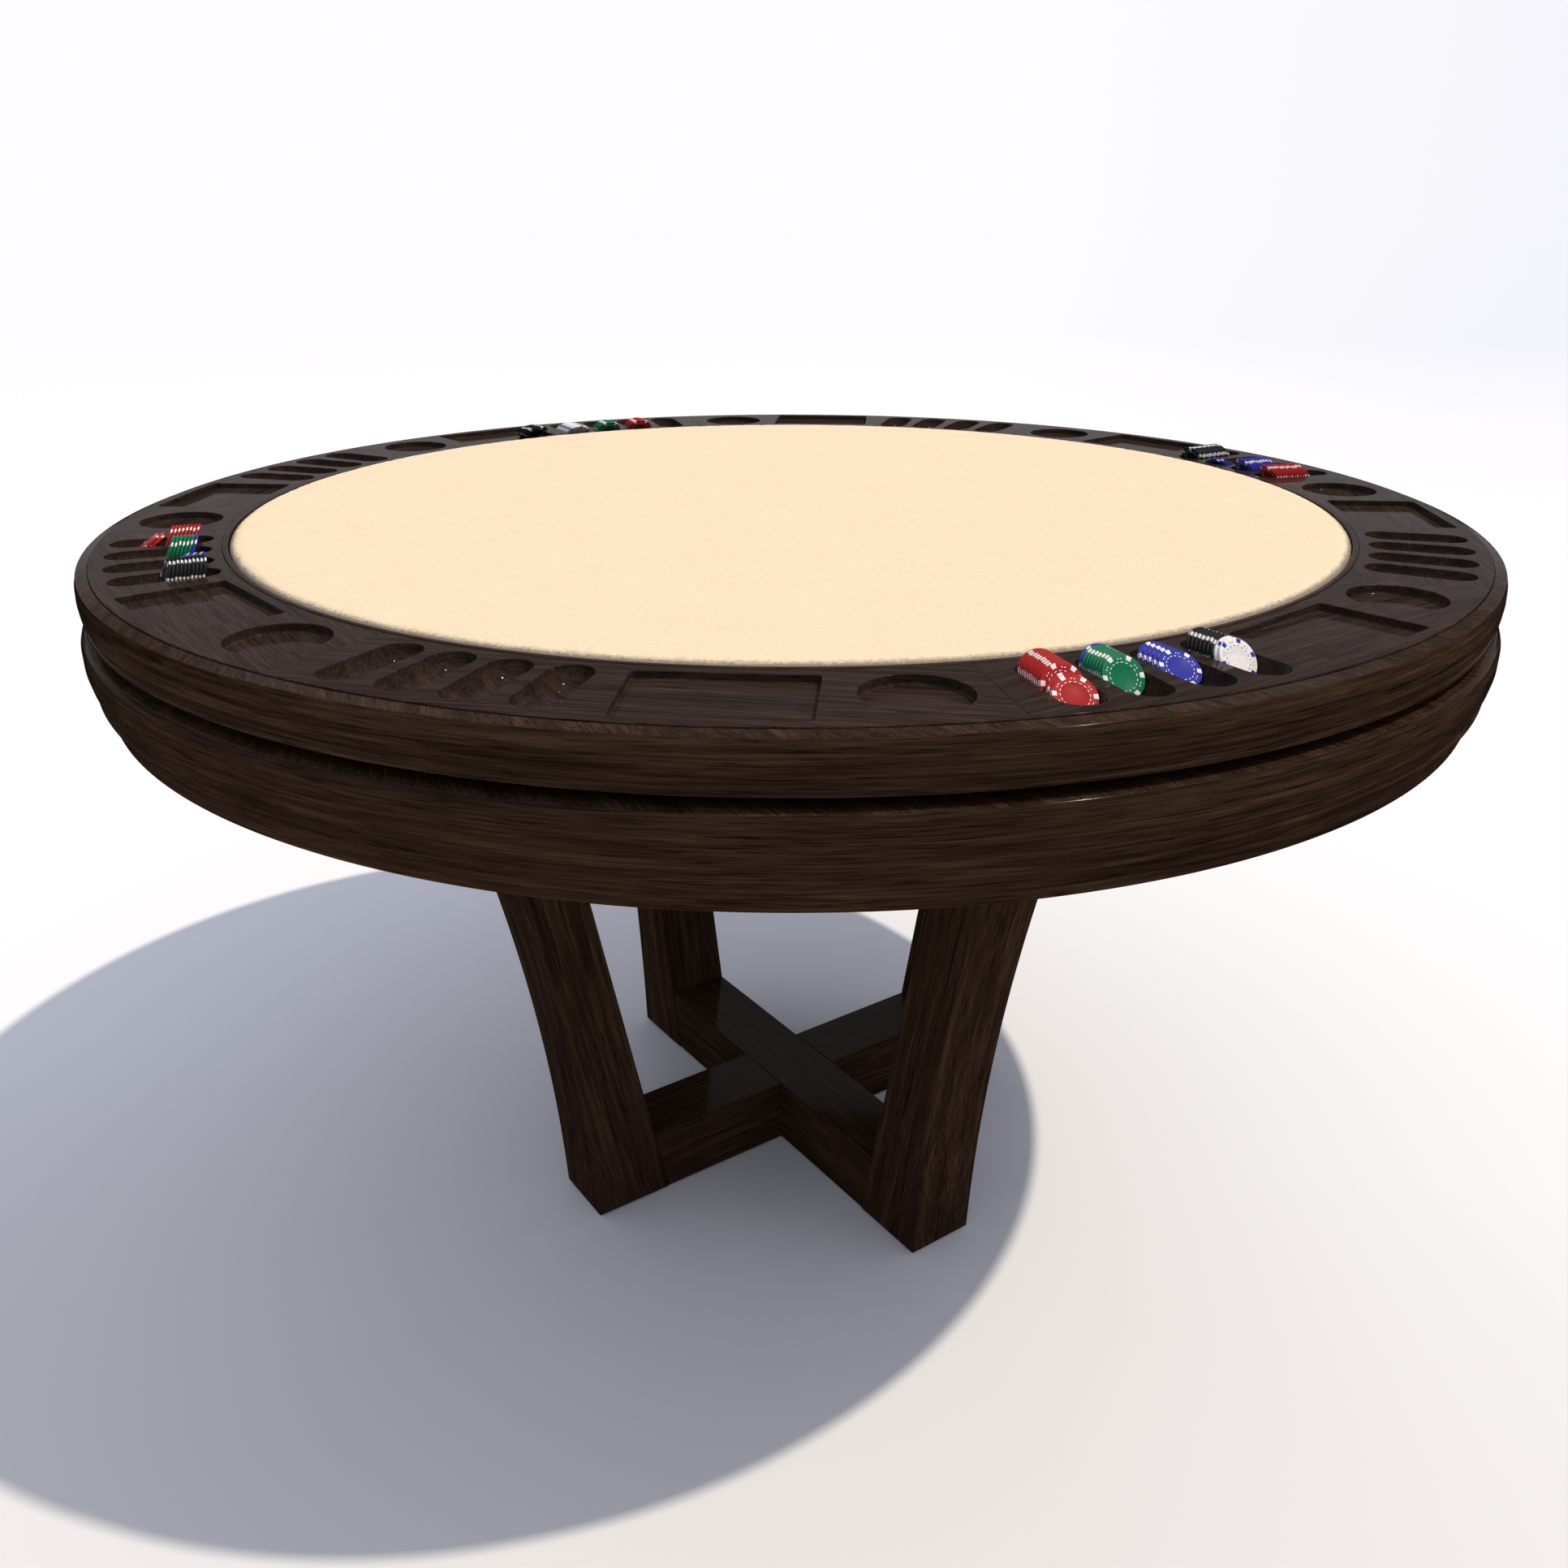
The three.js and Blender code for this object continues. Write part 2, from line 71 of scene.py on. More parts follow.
# Radii and sizes of the top.
PAD_RADIUS = 655.2 * MM
LINER_INNER = 656 * MM
LINER_OUTER = 662 * MM
RAIL_INNER = 662.3 * MM
RAIL_OUTER = 793.5 * MM
MOULDING_INNER = 793.9 * MM
MOULDING_NOSE = 808.5 * MM
RECESS_RADIUS = 726 * MM
CUP_RADIUS = 46 * MM
CUP_DEPTH = 9 * MM
CUP_ANGLE = 39.8
TRAY_LENGTH = 154 * MM
TRAY_WIDTH = 106 * MM
TRAY_DEPTH = 7 * MM
TRAY_CORNER = 5 * MM
TRAY_ANGLE = 27.8
TROUGHS = 4
TROUGH_RADIUS = 20.5 * MM
TROUGH_DEPTH = 20 * MM
TROUGH_LENGTH = 107 * MM
TROUGH_FIRST_ANGLE = 4
TROUGH_STEP_ANGLE = 4.5

# Sizes of the base.
BASE_NOSE = 812.6 * MM
APRON_INNER = 775 * MM
APRON_FOOT = 795.6 * MM
PIN_CIRCLE = 712 * MM
PIN_HOLE_RADIUS = 7 * MM
PIN_HOLE_DEPTH = 12.8 * MM
LEG_THICKNESS = 94 * MM
LEG_FOOT_INNER = 235.2 * MM
LEG_INNER_SLOPE = 0.2
LEG_FOOT_OUTER = 343.8 * MM
LEG_OUTER_SLOPE = 0.0467
LEG_OUTER_CURVE = 0.204
LEG_AZIMUTHS = (-45, 45, 135, -135)
STRETCHER_THICKNESS = 91 * MM

CHIP_RADIUS = 19.5 * MM
CHIP_THICKNESS = 3.5 * MM
CHIP_STEPS = 72  # flats round a chip, six repeats of the spot pattern
SPOT_PITCH = 12


def srgb(red, green, blue):
    """A display colour, 0 to 255, as the linear colour a shader takes."""
    def linear(value):
        share = value / 255
        return share / 12.92 if share <= 0.04045 else ((share + 0.055) / 1.055) ** 2.4

    return (linear(red), linear(green), linear(blue), 1.0)


def turn(degrees):
    return Matrix.Rotation(math.radians(degrees), 4, "Z")


# --- Node helpers --------------------------------------------------------------------------------


def add_node(tree, kind, inputs=None, **settings):
    """A new shader node. An input is a constant or the socket that feeds it."""
    made = tree.nodes.new("ShaderNode" + kind)
    for name, value in settings.items():
        setattr(made, name, value)
    for name, value in (inputs or {}).items():
        if isinstance(value, bpy.types.NodeSocket):
            tree.links.new(value, made.inputs[name])
        else:
            made.inputs[name].default_value = value
    return made


def ramp(tree, factor, stops):
    made = add_node(tree, "ValToRGB", {"Fac": factor})
    elements = made.color_ramp.elements
    while len(elements) < len(stops):
        elements.new(0.5)
    for element, (position, colour) in zip(elements, stops):
        element.position = position
        element.color = colour
    return made.outputs["Color"]


def stretched_noise(tree, vector, scale, detail, distortion=0.0):
    """Noise drawn out along the axes with the smaller scales."""
    mapped = add_node(tree, "Mapping", {"Vector": vector, "Scale": scale})
    made = add_node(
        tree,
        "TexNoise",
        {
            "Vector": mapped.outputs["Vector"],
            "Scale": 1.0,
            "Detail": detail,
            "Roughness": 0.6,
            "Distortion": distortion,
        },
    )
    return made.outputs["Fac"]


def blended(tree, factor, first, second):
    """first where factor is 0, second where it is 1; factor may be a constant or a socket."""
    made = add_node(tree, "Mix", data_type="FLOAT")
    for socket, value in zip((made.inputs[0], made.inputs[2], made.inputs[3]), (factor, first, second)):
        if isinstance(value, bpy.types.NodeSocket):
            tree.links.new(value, socket)
        else:
            socket.default_value = value
    return made.outputs[0]


def mixed_colour(tree, factor, first, second, blend_type="MIX"):
    """Two colours mixed by factor, which may be a constant or a socket."""
    made = add_node(tree, "Mix", data_type="RGBA", blend_type=blend_type)
    if isinstance(factor, bpy.types.NodeSocket):
        tree.links.new(factor, made.inputs[0])
    else:
        made.inputs[0].default_value = factor
    tree.links.new(first, made.inputs[6])
    tree.links.new(second, made.inputs[7])
    return made.outputs[2]


def map_range(tree, value, start, end, low=0.0, high=1.0):
    """value run from low at start to high at end, and level past both."""
    made = add_node(
        tree,
        "MapRange",
        {"Value": value, "From Min": start, "From Max": end, "To Min": low, "To Max": high},
    )
    return made.outputs["Result"]


def spread(tree, value, low, high):
    """A noise value's middle part spread from low to high."""
    return map_range(tree, value, 0.3, 0.7, low, high)


def bump(tree, height, distance, strength=1.0):
    made = add_node(tree, "Bump", {"Height": height, "Distance": distance, "Strength": strength})
    return made.outputs["Normal"]


def new_material(name, colour, roughness, normal, **constants):
    """A Principled material. colour and roughness are functions of its node tree or constants."""
    material = bpy.data.materials.new(name)
    material.use_nodes = True
    tree = material.node_tree
    shader = tree.nodes["Principled BSDF"]
    for socket, made in (("Base Color", colour), ("Roughness", roughness), ("Normal", normal)):
        value = made(tree) if callable(made) else made
        if isinstance(value, bpy.types.NodeSocket):
            tree.links.new(value, shader.inputs[socket])
        else:
            shader.inputs[socket].default_value = value
    for socket, value in constants.items():
        shader.inputs[socket.replace("_", " ")].default_value = value
    return material


# --- Materials -----------------------------------------------------------------------------------


def grain_coordinates(tree):
    """Along the grain, across it and through it, in metres, stored on the mesh."""
    return add_node(tree, "Attribute", attribute_name="grain").outputs["Vector"]


def object_coordinates(tree):
    return add_node(tree, "TexCoord").outputs["Object"]


def wood(name, stops, roughness=(0.06, 0.14), coordinates=grain_coordinates, index=1.11):
    """Stained, lacquered timber with long figure, fine streaks and pores."""

    def streaks(tree):
        figure = stretched_noise(tree, coordinates(tree), (2.4, 70, 70), 6, 0.6)
        fine = stretched_noise(tree, coordinates(tree), (11, 330, 330), 3)
        return blended(tree, 0.5, figure, fine)

    def pores(tree):
        return stretched_noise(tree, coordinates(tree), (24, 900, 900), 1)

    def colour(tree):
        stain = ramp(tree, streaks(tree), stops)
        dark = ramp(tree, pores(tree), [(0.34, (0.45, 0.41, 0.38, 1)), (0.44, (1, 1, 1, 1))])
        return mixed_colour(tree, 1.0, stain, dark, "MULTIPLY")

    return new_material(
        name,
        colour,
        lambda tree: spread(tree, streaks(tree), *roughness),
        lambda tree: bump(tree, pores(tree), 0.00012, 0.1),
        IOR=index,
    )


ESPRESSO = [
    (0.37, (0.0134, 0.0072, 0.0041, 1)),
    (0.45, (0.0224, 0.0124, 0.0071, 1)),
    (0.53, (0.0330, 0.0186, 0.0107, 1)),
    (0.62, (0.0504, 0.0291, 0.0170, 1)),
]
# Rail stain, greyer and bluer than ESPRESSO: partly the rail's own tone, partly painted bluish-grey sheen of
# its lacquered tops.
RAIL_STAIN_AND_SHEEN = [
    (0.37, (0.0145, 0.0090, 0.0070, 1)),
    (0.45, (0.0230, 0.0144, 0.0110, 1)),
    (0.53, (0.0315, 0.0196, 0.0148, 1)),
    (0.62, (0.0450, 0.0282, 0.0210, 1)),
]
PALE_WOOD = [
    (0.30, (0.30, 0.185, 0.09, 1)),
    (0.50, (0.42, 0.27, 0.145, 1)),
    (0.70, (0.52, 0.36, 0.21, 1)),
]


def suede():
    """Cream cloth with a napped, faintly patchy face, and painted shade that greys the lower part of its
    rolled edge.
    """

    def mottle(tree):
        broad = stretched_noise(tree, object_coordinates(tree), (14, 14, 14), 4, 0.4)
        nap = stretched_noise(tree, object_coordinates(tree), (260, 260, 260), 5)
        return blended(tree, 0.78, broad, nap)

    def colour(tree):
        patches = mottle(tree)
        cream = ramp(
            tree,
            patches,
            [
                (0.25, (0.655, 0.525, 0.352, 1)),
                (0.50, (0.722, 0.590, 0.405, 1)),
                (0.75, (0.770, 0.640, 0.450, 1)),
            ],
        )
        # Painted shade: lower down the rolled edge the cream is multiplied towards bluish grey, broken up by
        # the patches.
        height = add_node(tree, "SeparateXYZ", {"Vector": object_coordinates(tree)}).outputs["Z"]
        up_roll = map_range(tree, height, PAD_TOP - 4 * MM, PAD_TOP - 0.3 * MM)
        painted_roll_shade = blended(tree, 0.5, up_roll, patches)
        roll_shade_tint = ramp(tree, painted_roll_shade, [(0.32, (0.335, 0.355, 0.39, 1)), (0.64, (1, 1, 1, 1))])
        return mixed_colour(tree, 1.0, cream, roll_shade_tint, "MULTIPLY")

    def relief(tree):
        nap = stretched_noise(tree, object_coordinates(tree), (420, 420, 420), 6)
        pull = stretched_noise(tree, object_coordinates(tree), (70, 70, 70), 3, 0.5)
        return bump(tree, blended(tree, 0.4, nap, pull), 0.0013, 0.5)

    return new_material(
        "cream_suede",
        colour,
        lambda tree: spread(tree, mottle(tree), 0.86, 1.0),
        relief,
        Specular_IOR_Level=0.05,
    )


def composite(name, colour):
    """Moulded chip clay: nearly even colour, faint mottling and a fine-grained surface."""
    shade = tuple(0.82 * value for value in colour[:3]) + (1.0,)

    def speckle(tree):
        return stretched_noise(tree, object_coordinates(tree), (420, 420, 420), 4)

    return new_material(
        name,
        lambda tree: ramp(tree, speckle(tree), [(0.3, shade), (0.62, colour)]),
        lambda tree: spread(tree, speckle(tree), 0.35, 0.5),
        lambda tree: bump(tree, speckle(tree), 0.00002, 0.2),
        Specular_IOR_Level=0.05,
    )


def plain_metal(name, colour, roughness, metallic):
    def marks(tree):
        return stretched_noise(tree, object_coordinates(tree), (300, 300, 60), 4)

    shade = tuple(0.7 * value for value in colour[:3]) + (1.0,)
    return new_material(
        name,
        lambda tree: ramp(tree, marks(tree), [(0.35, shade), (0.6, colour)]),
        lambda tree: spread(tree, marks(tree), *roughness),
        lambda tree: bump(tree, marks(tree), 0.0001, 0.5),
        Metallic=metallic,
    )


WALNUT = wood("espresso_walnut", ESPRESSO)
# The rail's walnut: besides the wood's tone, its stain holds painted bluish-grey sheen.
RAIL_WALNUT_AND_SHEEN = wood("espresso_rail_stain_and_painted_sheen", RAIL_STAIN_AND_SHEEN, roughness=(0.05, 0.11))
WALNUT_SOLID = wood("espresso_walnut_hidden", ESPRESSO, coordinates=object_coordinates)
PLYWOOD = wood("birch_plywood", PALE_WOOD, (0.6, 0.8), object_coordinates, 1.4)
BEECH = wood("beech", PALE_WOOD, (0.5, 0.7), object_coordinates, 1.4)
SUEDE = suede()
NYLON = plain_metal("black_nylon", (0.02, 0.02, 0.021, 1), (0.45, 0.6), 0.0)
STEEL = plain_metal("zinc_plated_steel", (0.55, 0.56, 0.58, 1), (0.25, 0.45), 1.0)
CHIP_COLOURS = {
    "red": composite("chip_red", srgb(158, 34, 35)),
    "green": composite("chip_green", srgb(20, 108, 74)),
    "blue": composite("chip_blue", srgb(48, 54, 146)),
    "black": composite("chip_black", srgb(30, 31, 34)),
    "white": composite("chip_white", srgb(222, 219, 212)),
}


# --- Mesh helpers --------------------------------------------------------------------------------


def make_object(name, vertices, faces):
    mesh = bpy.data.meshes.new(name)
    mesh.from_pydata([tuple(v) for v in vertices], [], faces)
    mesh.validate()
    made = bpy.data.objects.new(name, mesh)
    bpy.context.scene.collection.objects.link(made)
    return made


def coordinates_of(mesh):
    flat = np.empty(len(mesh.vertices) * 3)
    mesh.vertices.foreach_get("co", flat)
    return flat.reshape(-1, 3)


def store_grain(mesh, grain, wraps=False, top_skew=0):
    """Stores grain(points) on the mesh. A piece that wraps round the axis stores it by face corner, with the
    azimuth counted on past the half turn, so that no face spans the whole circumference. On its upward faces
    the grain is turned by top_skew degrees."""
    points = coordinates_of(mesh)
    if not wraps:
        layer = mesh.attributes.new("grain", "FLOAT_VECTOR", "POINT")
        layer.data.foreach_set("vector", grain(points).ravel())
        return
    corner_vertex = np.empty(len(mesh.loops), dtype=np.int64)
    mesh.loops.foreach_get("vertex_index", corner_vertex)
    centres = np.empty(len(mesh.polygons) * 3)
    mesh.polygons.foreach_get("center", centres)
    centres = centres.reshape(-1, 3)
    totals = np.empty(len(mesh.polygons), dtype=np.int64)
    mesh.polygons.foreach_get("loop_total", totals)
    middle = np.repeat(np.arctan2(centres[:, 1], centres[:, 0]), totals)
    corners = points[corner_vertex]
    azimuth = np.arctan2(corners[:, 1], corners[:, 0])
    azimuth += 2 * np.pi * np.round((middle - azimuth) / (2 * np.pi))
    radius = np.hypot(corners[:, 0], corners[:, 1])
    wrapped = np.stack([azimuth * RAIL_OUTER, radius, corners[:, 2]], axis=1)
    normals = np.empty(len(mesh.polygons) * 3)
    mesh.polygons.foreach_get("normal", normals)
    upward = np.repeat(normals.reshape(-1, 3)[:, 2] > 0.8, totals)
    skew = np.where(upward, math.radians(top_skew), 0)
    along, across = wrapped[:, 0].copy(), wrapped[:, 1].copy()
    wrapped[:, 0] = along * np.cos(skew) + across * np.sin(skew)
    wrapped[:, 1] = across * np.cos(skew) - along * np.sin(skew)
    layer = mesh.attributes.new("grain", "FLOAT_VECTOR", "CORNER")
    layer.data.foreach_set("vector", grain(wrapped).ravel())


def shade(made, sharp_degrees=32, weighted=True):
    mesh = made.data
    mesh.polygons.foreach_set("use_smooth", [True] * len(mesh.polygons))
    mesh.set_sharp_from_angle(angle=math.radians(sharp_degrees))
    if weighted:
        modifier = made.modifiers.new("even_normals", "WEIGHTED_NORMAL")
        modifier.keep_sharp = True


def finish_piece(made, material, body, *stands_for):
    """Gives a piece its material and its body, and hides the CAD nodes that it stands for."""
    made.data.materials.clear()
    made.data.materials.append(material)
    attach(made, body)
    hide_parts(*stands_for)


def rounded_outline(corners, steps=5):
    """A closed outline with its corners rounded. Each corner is (x, y, radius)."""
    points = []
    count = len(corners)
    for index, (x, y, radius) in enumerate(corners):
        here = Vector((x, y))
        before = Vector(corners[index - 1][:2]) - here
        after = Vector(corners[(index + 1) % count][:2]) - here
        if radius <= 0:
            points.append((here.x, here.y))
            continue
        half = before.angle(after) / 2
        reach = min(radius / math.tan(half), 0.49 * before.length, 0.49 * after.length)
        start = here + before.normalized() * reach
        end = here + after.normalized() * reach
        for step in range(steps + 1):
            share = step / steps
            point = (1 - share) ** 2 * start + 2 * share * (1 - share) * here + share**2 * end
            points.append((point.x, point.y))
    return points


def turned(name, outline, sides=SIDES):
    """A solid of revolution from a closed (radius, height) outline that runs counter-clockwise. Points on the
    axis become single vertices."""
    vertices = []
    rows = []
    for radius, height in outline:
        if radius < 1e-7:
            rows.append([len(vertices)] * sides)
            vertices.append((0, 0, height))
            continue
        rows.append(list(range(len(vertices), len(vertices) + sides)))
        for side in range(sides):
            angle = 2 * math.pi * side / sides
            vertices.append((radius * math.cos(angle), radius * math.sin(angle), height))
    faces = []
    for index, row in enumerate(rows):
        following = rows[(index + 1) % len(rows)]
        for side in range(sides):
            ahead = (side + 1) % sides
            corners = [row[side], row[ahead], following[ahead], following[side]]
            face = list(dict.fromkeys(corners))
            if len(face) >= 3:
                faces.append(face)
    return make_object(name, vertices, faces)


def extruded(name, outline, thickness):
    """A closed (x, z) outline made thick along Y, centred on it."""
    count = len(outline)
    vertices = [(x, -thickness / 2, z) for x, z in outline] + [(x, thickness / 2, z) for x, z in outline]
    faces = [list(range(count)), list(range(2 * count - 1, count - 1, -1))]
    for index in range(count):
        ahead = (index + 1) % count
        faces.append([ahead, index, count + index, count + ahead])
    return make_object(name, vertices, faces)


def soften(made, width, segments=2):
    modifier = made.modifiers.new("eased_edges", "BEVEL")
    modifier.width = width
    modifier.segments = segments
    modifier.limit_method = "ANGLE"
    modifier.angle_limit = math.radians(32)
    modifier.harden_normals = False


def carve(made, cutter):
    """Cuts one mesh from another for good."""
    modifier = made.modifiers.new("carve", "BOOLEAN")
    modifier.operation = "DIFFERENCE"
    modifier.solver = "EXACT"
    modifier.object = cutter
    bpy.context.view_layer.update()
    evaluated = made.evaluated_get(bpy.context.evaluated_depsgraph_get())
    carved = bpy.data.meshes.new_from_object(evaluated)
    made.modifiers.clear()
    made.data = carved
    bpy.data.objects.remove(cutter)


# --- Camera, light and floor ---------------------------------------------------------------------


def add_camera():
    camera = bpy.data.cameras.new("camera")
    camera.sensor_width = 36
    camera.lens = 31.5
    made = bpy.data.objects.new("camera", camera)
    bpy.context.scene.collection.objects.link(made)
    made.location = (0.2856, -1.6878, 1.2569)
    made.rotation_euler = (math.radians(67.13), 0, math.radians(9.84))
    bpy.context.scene.camera = made


def add_sun():
    sun = bpy.data.lights.new("sun", "SUN")
    sun.energy = 2.75
    sun.color = (1.0, 0.90, 0.77)
    sun.angle = math.radians(1.2)
    made = bpy.data.objects.new("sun", sun)
    bpy.context.scene.collection.objects.link(made)
    azimuth, elevation = math.radians(1.2), math.radians(60.7)
    towards = Vector(
        (
            math.cos(azimuth) * math.cos(elevation),
            math.sin(azimuth) * math.cos(elevation),
            math.sin(elevation),
        )
    )
    made.rotation_euler = towards.to_track_quat("Z", "Y").to_euler()


def add_world():
    """Soft bluish sky light. The backdrop is near white, with a little blue on one side, and what the lacquer
    mirrors is a dimmer studio, dark under the horizon."""
    world = bpy.data.worlds.new("studio")
    bpy.context.scene.world = world
    world.use_nodes = True
    tree = world.node_tree
    tree.nodes.clear()
    path = add_node(tree, "LightPath")
    direction = add_node(tree, "TexCoord").outputs["Generated"]
    parts = add_node(tree, "SeparateXYZ", {"Vector": direction})
    backdrop_colour = ramp(
        tree,
        parts.outputs["X"],
        [(0.0, (0.985, 0.975, 0.990, 1)), (0.33, (0.905, 0.905, 0.965, 1))],
    )
    mirrored_colour = ramp(
        tree,
        parts.outputs["Z"],
        [
            (0.0, (0.004, 0.004, 0.005, 1)),
            (0.04, (0.32, 0.32, 0.34, 1)),
            (0.14, (0.32, 0.32, 0.34, 1)),
            (0.25, (0.23, 0.23, 0.25, 1)),
            (0.33, (0.12, 0.12, 0.13, 1)),
            (0.45, (0.16, 0.16, 0.18, 1)),
            (0.55, (0.70, 0.70, 0.78, 1)),
        ],
    )
    sky = add_node(tree, "Background", {"Color": (0.825, 0.846, 1.0, 1), "Strength": 0.81})
    mirrored = add_node(tree, "Background", {"Color": mirrored_colour, "Strength": 1.0})
    backdrop = add_node(tree, "Background", {"Color": backdrop_colour, "Strength": 1.0})
    lit = add_node(tree, "MixShader", {"Fac": path.outputs["Is Glossy Ray"]})
    tree.links.new(sky.outputs[0], lit.inputs[1])
    tree.links.new(mirrored.outputs[0], lit.inputs[2])
    shown = add_node(tree, "MixShader", {"Fac": path.outputs["Is Camera Ray"]})
    tree.links.new(lit.outputs[0], shown.inputs[1])
    tree.links.new(backdrop.outputs[0], shown.inputs[2])
    output = add_node(tree, "OutputWorld")
    tree.links.new(shown.outputs[0], output.inputs["Surface"])


def add_floor():
    """A pale floor, a little darker towards the front, that blends into the backdrop away from the table."""
    reach = 60
    corners = [(-reach, -reach, 0), (reach, -reach, 0), (reach, reach, 0), (-reach, reach, 0)]
    floor = make_object("floor", corners, [[0, 1, 2, 3]])

    def colour(tree):
        place = object_coordinates(tree)
        depth = add_node(tree, "SeparateXYZ", {"Vector": place}).outputs["Y"]
        back = map_range(tree, depth, -0.7, 0)
        near = ramp(tree, back, [(0.0, (0.684, 0.685, 0.671, 1)), (1.0, (0.745, 0.755, 0.755, 1))])
        direction = add_node(tree, "VectorMath", {0: place}, operation="NORMALIZE").outputs["Vector"]
        sideways = add_node(tree, "SeparateXYZ", {"Vector": direction}).outputs["X"]
        far = ramp(tree, sideways, [(0.0, (0.688, 0.711, 0.709, 1)), (0.33, (0.632, 0.660, 0.691, 1))])
        away = add_node(tree, "VectorMath", {0: place}, operation="LENGTH").outputs["Value"]
        return mixed_colour(tree, map_range(tree, away, 2, 14), near, far)

    paint = new_material("pale_floor", colour, 0.9, (0, 0, 0), Specular_IOR_Level=0.0)
    floor.data.materials.append(paint)
    floor.visible_glossy = False


# --- Playing panel -------------------------------------------------------------------------------


def add_playing_pad():
    """Cloth drawn over thin foam: a flat top that rolls over at the edge, with small uneven pulls there."""
    roll_width = 15 * MM
    roll_depth = 8 * MM
    pull_width = 20 * MM
    flat_radius = PAD_RADIUS - roll_width
    steps = 9
    outline = [(0, PAD_BOTTOM), (PAD_RADIUS - 3 * MM, PAD_BOTTOM), (PAD_RADIUS, PAD_BOTTOM + 3 * MM)]
    for step in range(steps + 1):
        angle = math.radians(90) * step / steps
        radius = flat_radius + roll_width * math.cos(angle)
        outline.append((radius, PAD_TOP - roll_depth * (1 - math.sin(angle))))
    for radius in (flat_radius - 12 * MM, flat_radius - 60 * MM, 0.3, 0):
        outline.append((radius, PAD_TOP))
    pad = turned("playing_pad_cloth", outline, 576)
    for vertex in pad.data.vertices:
        radius = math.hypot(vertex.co.x, vertex.co.y)
        if radius < flat_radius - pull_width or vertex.co.z < PAD_BOTTOM + 1 * MM:
            continue
        near_edge = min(1, (radius - flat_radius + pull_width) / pull_width)
        pull = noise.fractal(vertex.co * 95, 0.7, 2.2, 3)
        vertex.co.z -= 0.8 * MM * near_edge * abs(pull)
        shrink = 1 - 0.6 * MM * near_edge * abs(pull) / radius
        vertex.co.x *= shrink
        vertex.co.y *= shrink
    shade(pad, 60, weighted=False)
    finish_piece(pad, SUEDE, "playing_panel", "playing_pad")


# --- Rail ----------------------------------------------------------------------------------------


def sector_outline(inset):
    """The outline of one rail segment about its middle azimuth, drawn in by inset."""
    steps = 30
    half_angle = math.radians(STATION_ANGLE / 2)
    outline = []
    for radius, direction in ((RAIL_OUTER - inset, 1), (RAIL_INNER + inset, -1)):
        limit = half_angle - math.asin((GAP / 2 + 0.35 * inset) / radius)
        for step in range(steps + 1):
            angle = direction * (-limit + 2 * limit * step / steps)
            outline.append((radius * math.cos(angle), radius * math.sin(angle)))
    return outline


def stadium_outline(half_x, half_y, corner, steps):
    """A rounded rectangle about the origin."""
    outline = []
    for quarter, (sign_x, sign_y) in enumerate(((1, 1), (-1, 1), (-1, -1), (1, -1))):
        for step in range(steps + 1):
            angle = math.radians(90) * (quarter + step / steps)
            x = sign_x * (half_x - corner) + corner * math.cos(angle)
            y = sign_y * (half_y - corner) + corner * math.sin(angle)
            outline.append((x, y))
    return outline


def loft(name, levels):
    """A closed solid through outlines of equal length. Each level is (outline, height), bottom first."""
    count = len(levels[0][0])
    vertices = [(x, y, height) for outline, height in levels for x, y in outline]
    faces = [list(range(count - 1, -1, -1))]
    for level in range(len(levels) - 1):
        for index in range(count):
            ahead = (index + 1) % count
            low, high = level * count, (level + 1) * count
            faces.append([low + index, low + ahead, high + ahead, high + index])
    faces.append(list(range((len(levels) - 1) * count, len(levels) * count)))
    return make_object(name, vertices, faces)


def rim_levels(edge):
    """(inset, height under the rail top) of a rounded rim of radius edge, ending above the rail."""
    levels = []
    for step in range(5):
        angle = math.radians(90) * step / 4
        levels.append((-edge * (1 - math.cos(angle)), -edge * (1 - math.sin(angle))))
    levels.append((-edge, 2 * MM))
    return levels


def recess_cutter(name, half_x, half_y, corner, below_rim, edge, steps):
    """A cutter whose levels below the rim are (inset, height under the rail top)."""
    levels = []
    for inset, height in [*below_rim, *rim_levels(edge)]:
        outline = stadium_outline(half_x - inset, half_y - inset, max(corner - inset, 0.2 * MM), steps)
        levels.append((outline, RAIL_TOP + height))
    return loft(name, levels)


def cove_levels(depth, cove):
    """Levels of a straight wall that meets a flat floor in a cove."""
    levels = []
    for step in range(6):
        angle = math.radians(90) * step / 5
        levels.append((cove * (1 - math.sin(angle)), -depth + cove * (1 - math.cos(angle))))
    return levels


def trough_levels():
    """Levels of the lower part of a round-bottomed trough."""
    levels = []
    rim_angle = math.acos(1 - TROUGH_DEPTH / TROUGH_RADIUS)
    steps = 12
    for step in range(1, steps + 1):
        angle = 0.96 * rim_angle * step / steps
        inset = TROUGH_RADIUS * (1 - math.sin(angle))
        levels.append((inset, -TROUGH_DEPTH + TROUGH_RADIUS * (1 - math.cos(angle))))
    return levels


